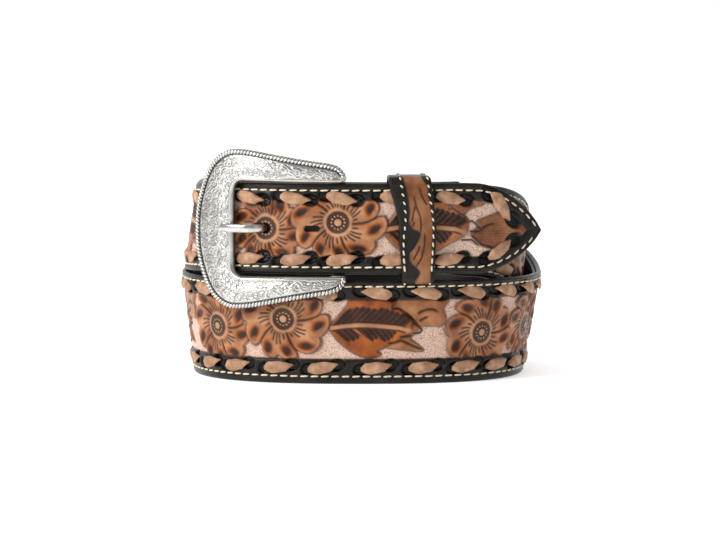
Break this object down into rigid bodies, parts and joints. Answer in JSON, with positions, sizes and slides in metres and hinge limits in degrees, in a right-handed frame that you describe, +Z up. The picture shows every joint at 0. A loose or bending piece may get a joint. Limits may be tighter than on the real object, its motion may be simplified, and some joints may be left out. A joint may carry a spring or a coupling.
{
  "type": "western tooled belt",
  "caption": "Lined leather belt with floral tooling, laced edges, a curved rope-edged silver buckle and a keeper, buckled and coiled on its edge.",
  "frame": {"origin": "centre of the coil's footprint box, on the surface that the lower edge stands on", "axes": "+X right as seen from the buckle's side, +Y to the back, +Z up"},
  "size_m": [0.1569, 0.1482, 0.0987],
  "materials": {
    "tooled_leather": "antiqued orange brown, satin",
    "black_leather": "matt black",
    "keeper_leather": "black edges with a tan carved vine, satin",
    "antique_silver": "antiqued silver plate"
  },
  "bodies": {
    "root": {"strap_outer": "tooled_leather", "strap_lining": "black_leather", "keeper": "keeper_leather", "buckle_frame": "antique_silver", "buckle_tongue": "antique_silver", "fold_post_near": "antique_silver", "fold_post_far": "antique_silver"}
  },
  "joints": []
}
